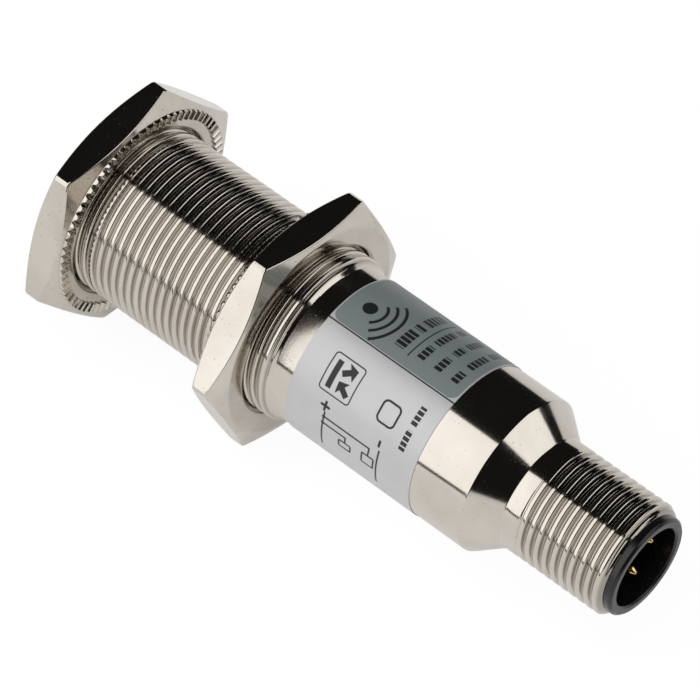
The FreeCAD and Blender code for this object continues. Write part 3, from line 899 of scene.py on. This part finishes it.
# ---------------------------------------------------------------- the sensor
@dataclass
class Thread:
    """A 60 degree thread with broad crests."""

    radius: float
    start: float
    end: float
    crest: float
    start_drop: float
    end_drop: float
    fade: float = 0.001
    pitch: float = 1.0
    depth: float = 0.4
    crest_share: float = 0.15
    root_share: float = 0.42
    rows_a_turn: int = 16

    def inputs(self, segments: int) -> dict[str, object]:
        """The tree's inputs, with lengths in metres.

        Args:
            segments: Steps once round.

        Returns:
            The value of each named input.
        """
        first = self.crest - math.ceil((self.crest - self.start) / self.pitch + 1) * self.pitch
        turns = math.ceil((self.end - first) / self.pitch)
        lengths = {
            "Radius": self.radius, "Depth": self.depth, "Pitch": self.pitch, "Start": self.start,
            "End": self.end, "Start Drop": self.start_drop, "End Drop": self.end_drop,
            "Fade": self.fade, "First Crest": first,
        }
        return {
            **{name: length * MM for name, length in lengths.items()},
            "Turns": float(turns), "Crest Share": self.crest_share, "Root Share": self.root_share,
            "Rows": turns * self.rows_a_turn, "Segments": segments,
        }


@dataclass
class Housing:
    """The one-piece housing: M18 thread, smooth body, cone, neck and M12 thread."""

    length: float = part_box("barrel_housing")[1].x / MM
    thread_radius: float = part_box("barrel_housing")[1].z / MM
    body_radius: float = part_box("rating_label")[1].z / MM - 0.08
    plug_radius: float = 6.0
    thread_end: float = 29.1
    cone_start: float = 52.55
    cone_end: float = 55.55
    plug_thread_start: float = 57.2
    front_chamfer: float = 0.5
    plug_chamfer: float = 0.6
    wall: float = 0.65
    rear_wall: float = 1.75
    plug_bore: float = 4.9
    edge: float = 0.09
    segments: int = 112
    main_crest: float = 5.014
    plug_crest: float = 57.557
    seam: float = 0.001
    sharp: float = 50.0

    def build(self) -> bpy.types.Object:
        """Turn the blank, cut both threads and dress the piece.

        Returns:
            The finished piece.
        """
        bore = self.body_radius - self.wall
        bore_end = self.cone_start - self.rear_wall
        outside = softened([
            (self.thread_end, self.body_radius), (self.cone_start, self.body_radius),
            (self.cone_end, self.plug_radius), (self.plug_thread_start, self.plug_radius),
        ], self.edge)
        inside = softened([
            (self.length, self.plug_radius - self.plug_chamfer), (self.length, self.plug_bore),
            (bore_end + bore - self.plug_bore, self.plug_bore), (bore_end, bore), (0.0, bore),
            (0.0, self.thread_radius - self.front_chamfer),
        ], self.edge)
        angles = once_round(self.segments)
        points, faces = turned([outside], angles, False)
        more_points, more_faces = turned([inside], angles, False)
        faces += after(len(points), more_faces)
        piece = made("housing", np.vstack([points, more_points]), faces)
        main = Thread(
            self.thread_radius, 0.0, self.thread_end, self.main_crest,
            self.front_chamfer, self.thread_radius - self.body_radius,
        )
        plug = Thread(
            self.plug_radius, self.plug_thread_start, self.length, self.plug_crest,
            0.0, self.plug_chamfer, 0.6,
        )
        tree = ThreadedTree([main.inputs(self.segments), plug.inputs(self.segments)])
        material = FINISHES[Slot.HOUSING].material()
        tree.apply(piece, {"Seam": self.seam * MM, "Material": material})
        clean(piece.data)
        smooth(piece, self.sharp)
        settle(piece, "sensor", Slot.HOUSING, "barrel_housing")
        return piece


@dataclass
class ClampingNut:
    """A chamfered hexagon nut with a ring of locking teeth on one face."""

    node: str
    body: str
    corner_angle: float
    teeth_ahead: bool
    half_across_flats: float = 12.0
    corner_radius: float = 13.74
    thickness: float = 3.6
    tooth_height: float = 0.4
    gap_depth: float = 0.35
    bore: float = 9.05
    countersink: float = 0.45
    chamfer_start: float = 11.5
    chamfer_slope: float = math.tan(math.radians(23.0))
    ring_inside: float = 10.4
    ring_outside: float = 11.5
    teeth: int = 72
    edge: float = 0.13
    steps_a_side: int = 20
    sharp: float = 28.0
    ends: tuple[float, float] = (0.0, 0.0)

    def __post_init__(self) -> None:
        """Read where the nut's two faces are."""
        low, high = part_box(self.node)
        self.ends = (low.x / MM, high.x / MM)

    def outline(self, radius: float) -> list[Point]:
        """Depth and radius of the nut's section where its side is this far out.

        Args:
            radius: Distance of the side from the axis.

        Returns:
            The closed section, from the plain face round to the bore.
        """
        drop = (radius - self.chamfer_start) * self.chamfer_slope
        mouth = self.bore + self.countersink
        middle = (self.thickness / 2, self.bore)
        return softened([
            middle, (self.countersink, self.bore), (0.0, mouth), (0.0, self.chamfer_start), (drop, radius),
            (self.thickness - drop, radius), (self.thickness, self.chamfer_start), (self.thickness, mouth),
            (self.thickness - self.countersink, self.bore), middle,
        ], self.edge)

    def side(self, angle: float) -> float:
        """Distance of the hexagon's side from the axis, at an angle from the middle of a flat."""
        return min(self.half_across_flats / math.cos(angle), self.corner_radius)

    def tooth(self) -> bpy.types.Object:
        """One tooth, straight above the axis, with its crest rounded."""
        half_step = math.pi / self.teeth
        low = self.thickness - 0.05
        foot = self.thickness + self.tooth_height - self.gap_depth
        crest = self.thickness + self.tooth_height
        section = [
            (-1.0, low), (-1.0, foot), (-0.52, crest - 0.14), (-0.26, crest - 0.05), (0.0, crest - 0.03),
            (0.26, crest - 0.05), (0.52, crest - 0.14), (1.0, foot), (1.0, low),
        ]
        stations = [
            (self.ring_inside, 0.35), (self.ring_inside + 0.07, 1.0),
            (self.ring_outside - 0.1, 1.0), (self.ring_outside, 0.3),
        ]
        points = []
        for radius, share in stations:
            for across, depth in section:
                lift = low + (depth - low) * (share if depth > foot else 1.0)
                angle = across * half_step
                points.append((self.station(lift), -radius * math.sin(angle), radius * math.cos(angle)))
        count = len(section)
        faces = bands(len(stations), count, False, False)
        faces += [tuple(range(count)), tuple(range(count * 3, count * 4))]
        item = made(f"{self.node}_tooth", np.array(points), faces)
        smooth(item, 25.0)
        return item

    def station(self, depth: float) -> float:
        """Station along the barrel of a depth from the plain face."""
        return self.ends[0] + depth if self.teeth_ahead else self.ends[1] - depth

    def build(self) -> bpy.types.Object:
        """Make the hexagon and its teeth and dress the piece.

        Returns:
            The finished piece.
        """
        blunt = math.acos(self.half_across_flats / self.corner_radius)
        half = math.pi / 6
        steps = [half * (2 * n / self.steps_a_side - 1) for n in range(1, self.steps_a_side)]
        across = sorted([*steps, -half, -blunt, blunt])
        angles, outlines = [], []
        for flat in range(6):
            for offset in across:
                angles.append(math.radians(self.corner_angle) + half + flat * 2 * half + offset)
                line = self.outline(self.side(offset))
                outlines.append([(self.station(depth), radius) for depth, radius in line])
        points, faces = turned(outlines, np.array(angles), True)
        piece = made(f"{self.body}_nut", points, faces)
        smooth(piece, self.sharp)
        tooth = self.tooth()
        first = math.radians(self.corner_angle) + math.pi / self.teeth
        values = {
            "Copy": tooth, "Count": self.teeth, "First Angle": first,
            "Material": FINISHES[Slot.NUT].material(),
        }
        RingTree().apply(piece, values)
        bpy.data.objects.remove(tooth)
        smooth(piece, self.sharp)
        settle(piece, self.body, Slot.NUT, self.node)
        return piece


@dataclass
class RatingLabel:
    """A thin printed film wrapped round the smooth part of the barrel."""

    node: str = "rating_label"
    thickness: float = 0.08
    edge: float = 0.03
    segments: int = 144

    def build(self) -> bpy.types.Object:
        """Turn the film's section round the barrel and dress it.

        Returns:
            The finished piece.
        """
        low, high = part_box(self.node)
        start, end, outer = low.x / MM, high.x / MM, high.z / MM
        inner = outer - self.thickness
        middle = ((start + end) / 2, inner)
        line = softened(
            [middle, (start, inner), (start, outer), (end, outer), (end, inner), middle], self.edge
        )
        points, faces = turned([line], once_round(self.segments), True)
        piece = made("label", points, faces)
        smooth(piece, 40.0)
        settle(piece, "sensor", Slot.FILM, self.node)
        return piece


@dataclass
class PlugEnd:
    """The black contact carrier with its key, and four gold pins."""

    start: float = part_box("contact_carrier")[0].x / MM
    end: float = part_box("contact_carrier")[1].x / MM
    metal_end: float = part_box("barrel_housing")[1].x / MM
    seat_radius: float = 4.87
    rim_radius: float = 5.3
    rim_bevel: float = 0.25
    hollow_radius: float = 4.25
    floor: float = 59.8
    groove: tuple[float, float, float] = (57.4, 58.7, 3.92)
    key_angle: float = 52.0
    key_width: float = 1.3
    key_height: float = 0.7
    key_setback: float = 0.8
    pin_radius: float = 0.5
    pin_circle: float = 2.5
    pin_angle: float = 7.0
    pin_nose: float = 0.55
    pin_tip: float = 0.12
    pin_foot: float = 0.15
    lip: float = 0.18
    segments: int = 128

    def carrier(self) -> bpy.types.Object:
        """The carrier, with a rounded rim, a deep hollow and a key.

        Returns:
            The finished piece.
        """
        groove_start, groove_end, groove_radius = self.groove
        line = softened([
            (self.start, 0.0), (self.start, self.seat_radius), (groove_start, self.seat_radius),
            (groove_start, groove_radius), (groove_end, groove_radius), (groove_end, self.seat_radius),
            (self.metal_end, self.seat_radius), (self.metal_end, self.rim_radius),
            (self.end - self.rim_bevel, self.rim_radius), (self.end, self.rim_radius - self.rim_bevel),
            (self.end, self.hollow_radius + self.lip), (self.end - self.lip, self.hollow_radius),
            (self.floor, self.hollow_radius), (self.floor, 0.0),
        ], 0.06)
        points, faces = turned([line], once_round(self.segments), False)
        key_points, key_faces = self.key()
        faces += after(len(points), key_faces)
        piece = made("connector_insert", np.vstack([points, key_points]), faces)
        smooth(piece, 35.0)
        settle(piece, "sensor", Slot.BLACK, "contact_carrier")
        return piece

    def key(self) -> tuple[np.ndarray, list]:
        """The coding key: a rounded rib along the wall of the hollow.

        Returns:
            Its points in millimetres and its faces.
        """
        half, top = self.key_width / 2, self.hollow_radius - self.key_height
        section = softened([
            (-half, self.hollow_radius + 0.1), (-half, top), (half, top), (half, self.hollow_radius + 0.1),
        ], 0.2, 4)
        turn = math.radians(self.key_angle)
        points = []
        for station in (self.floor - 0.1, self.end - self.key_setback - 0.1, self.end - self.key_setback):
            inset = 0.1 if station == self.end - self.key_setback else 0.0
            for across, radius in section:
                side, out = across * (1 - inset), radius + inset
                points.append((
                    station,
                    -out * math.sin(turn) + side * math.cos(turn),
                    out * math.cos(turn) + side * math.sin(turn),
                ))
        count = len(section)
        faces = bands(3, count, False, True)
        return np.array(points), [*faces, tuple(range(count)), tuple(range(2 * count, 3 * count))]

    def pins(self) -> bpy.types.Object:
        """Four round-nosed pins, set round the axis.

        Returns:
            The finished piece.
        """
        low, high = (corner.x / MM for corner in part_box("contact_pins"))
        nose = high - self.pin_nose
        line = softened([
            (low, 0.0), (low, self.pin_radius * 0.8), (low + self.pin_foot, self.pin_radius),
            (nose, self.pin_radius), (high - self.pin_tip, self.pin_radius * 0.42),
            (high, self.pin_tip), (high, 0.0),
        ], self.pin_tip)
        points, faces = turned([line], once_round(32), False)
        points[:, 2] += self.pin_circle
        pin = made("pin", points, faces)
        smooth(pin, 40.0)
        piece = made("plug_pins", np.zeros((0, 3)), [])
        values = {
            "Copy": pin, "Count": 4, "First Angle": math.radians(self.pin_angle),
            "Material": FINISHES[Slot.GOLD].material(),
        }
        RingTree().apply(piece, values)
        bpy.data.objects.remove(pin)
        settle(piece, "sensor", Slot.GOLD, "contact_pins")
        return piece


@dataclass
class Inside:
    """Everything that keeps its designed shape and only needs its finish."""

    slots: dict[str, Slot] = field(default_factory=lambda: {
        "lens_window": Slot.LENS, "lens_seal": Slot.RUBBER, "optics_holder": Slot.BLACK,
        "emitter_led": Slot.DIODE, "receiver_photodiode": Slot.DIODE, "optics_board": Slot.BOARD,
        "main_board": Slot.BOARD, "controller_chip": Slot.CHIP, "voltage_regulator": Slot.CHIP,
        "output_transistors": Slot.CHIP, "suppressor_diodes": Slot.CHIP, "resistors": Slot.CHIP,
        "capacitors": Slot.CERAMIC, "board_link_pins": Slot.TIN, "wire_posts": Slot.TIN,
        "insulating_sleeve": Slot.SLEEVE, "connector_wires": Slot.LEADS, "potting_plug": Slot.RESIN,
        "carrier_seal": Slot.RUBBER,
    })

    def dress(self) -> None:
        """Give each carried-over node its finish."""
        for name, slot in self.slots.items():
            dress(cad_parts[name], slot)
            log.info("%s: %s", name, slot.value)


# ---------------------------------------------------------------- studio
@dataclass
class Card:
    """A softbox: a flat bright rectangle that faces the barrel."""

    name: str
    centre: tuple[float, float, float]
    aim: tuple[float, float, float]
    size: Point
    radiance: float
    reflected: bool = True

    def hang(self) -> None:
        """Make the light; its long side stays level."""
        lamp = bpy.data.lights.new(self.name, "AREA")
        lamp.shape = "RECTANGLE"
        lamp.size, lamp.size_y = self.size
        lamp.energy = self.radiance * math.pi * self.size[0] * self.size[1]
        item = bpy.data.objects.new(self.name, lamp)
        item.location = self.centre
        way = Vector(self.aim) - Vector(self.centre)
        item.rotation_euler = way.to_track_quat("-Z", "Y").to_euler()
        item.visible_camera = False
        item.visible_glossy = self.reflected
        bpy.context.scene.collection.objects.link(item)


@dataclass
class Studio:
    """Camera, softboxes, dark room and a plain pale floor."""

    look_at: tuple[float, float, float] = (0.0313, 0.0006, 0.0003)
    azimuth: float = 41.7
    elevation: float = 52.3
    distance: float = 0.4283
    lens: float = 232.0
    sensor: float = 36.0
    nearest: float = 0.01
    room: Colour = (0.01, 0.0097, 0.009)
    backdrop: float = 1.0
    floor_half: float = 1.6
    floor_glow: float = 0.93
    floor_tone: float = 0.1
    table_glow: float = 0.26
    table_tone: float = 0.8
    side_span: Point = (10.0, 86.5)
    side_reach: float = 0.8

    def camera(self) -> None:
        """A long lens, level, looking down at the barrel."""
        turn, tip = math.radians(self.azimuth), math.radians(self.elevation)
        back = Vector((
            math.sin(turn) * math.cos(tip), -math.cos(turn) * math.cos(tip), math.sin(tip),
        ))
        data = bpy.data.cameras.new("view")
        data.lens, data.sensor_width, data.clip_start = self.lens, self.sensor, self.nearest
        item = bpy.data.objects.new("view", data)
        item.location = Vector(self.look_at) + back * self.distance
        item.rotation_euler = (-back).to_track_quat("-Z", "Y").to_euler()
        bpy.context.scene.collection.objects.link(item)
        bpy.context.scene.camera = item

    def lights(self) -> None:
        """The softboxes."""
        for card in self.cards():
            card.hang()

    def cards(self) -> list[Card]:
        """One tall card beside the barrel, one beyond its plug end and a fill light overhead."""
        (low, high), reach = self.side_span, self.side_reach
        middle, half = math.radians((low + high) / 2), math.radians((high - low) / 2)
        centre = (-0.35, -reach * math.sin(middle), reach * math.cos(middle))
        tall = Card("side_card", centre, (-0.35, 0.0, 0.0), (1.3, 2 * reach * math.tan(half)), 1.42)
        far = Card("end_card", (0.68, 0.5, 0.5), (0.0, 0.0, 0.0), (0.95, 0.55), 1.3)
        fill = Card("fill_light", (0.0, 0.0, 1.0), (0.0, 0.0, 0.0), (1.0, 1.0), 1.1, False)
        return [tall, far, fill]

    def surroundings(self) -> None:
        """A dark room that the camera sees as a plain pale backdrop."""
        world = bpy.data.worlds.new("room")
        world.use_nodes = True
        bpy.context.scene.world = world
        graph = Graph(world.node_tree)
        world.node_tree.nodes.clear()
        seen = graph.out(graph.node("ShaderNodeLightPath"), "Is Camera Ray")
        dark = graph.out(graph.node("ShaderNodeBackground", None, {"Color": (*self.room, 1.0)}))
        pale = graph.out(graph.node(
            "ShaderNodeBackground", None, {"Color": (1.0, 1.0, 1.0, 1.0), "Strength": self.backdrop}
        ))
        mixed = graph.out(graph.node("ShaderNodeMixShader", None, {0: seen, 1: dark, 2: pale}))
        graph.node("ShaderNodeOutputWorld", None, {"Surface": mixed})

    def floor(self, height: float) -> None:
        """A plain pale table top at a height."""
        half = self.floor_half
        mesh = bpy.data.meshes.new("floor")
        corners = [(-half, -half), (half, -half), (half, half), (-half, half)]
        mesh.from_pydata([(x, y, height) for x, y in corners], [], [(0, 1, 2, 3)])
        item = bpy.data.objects.new("floor", mesh)
        bpy.context.scene.collection.objects.link(item)
        material = bpy.data.materials.new("floor")
        material.use_nodes = True
        graph = Graph(material.node_tree)
        material.node_tree.nodes.clear()
        seen = graph.out(graph.node("ShaderNodeLightPath"), "Is Camera Ray")
        tops = []
        for tone, glow in ((self.table_tone, self.table_glow), (self.floor_tone, self.floor_glow)):
            tops.append(graph.out(graph.node("ShaderNodeBsdfPrincipled", None, {
                "Base Color": (tone, tone, tone, 1.0), "Roughness": 0.9,
                "Emission Color": (1.0, 1.0, 1.0, 1.0), "Emission Strength": glow,
            })))
        mixed = graph.out(graph.node("ShaderNodeMixShader", None, {0: seen, 1: tops[0], 2: tops[1]}))
        graph.node("ShaderNodeOutputMaterial", None, {"Surface": mixed})
        mesh.materials.append(material)
        item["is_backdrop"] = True

    def exposure(self) -> None:
        """Plain colour, so that white stays white."""
        bpy.context.scene.view_settings.view_transform = "Standard"

    def build(self, height: float) -> None:
        """Set everything up round an object that rests at a height."""
        self.camera()
        self.lights()
        self.surroundings()
        self.floor(height)
        self.exposure()


def main() -> None:
    """Build every sub-assembly in order and write the two boxes."""
    logging.basicConfig(level=logging.INFO, format="%(name)s: %(message)s")
    cad_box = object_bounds()
    makers: list[Callable[[], object]] = [
        Housing().build,
        ClampingNut("front_nut", "front_clamp", 38.5, True).build,
        ClampingNut("rear_nut", "rear_clamp", 21.1, False).build,
        RatingLabel().build,
        PlugEnd().carrier,
        PlugEnd().pins,
        Inside().dress,
    ]
    for make in makers:
        make()
    Studio().build(cad_box[0].z)
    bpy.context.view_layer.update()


if __name__ == "__main__":
    main()
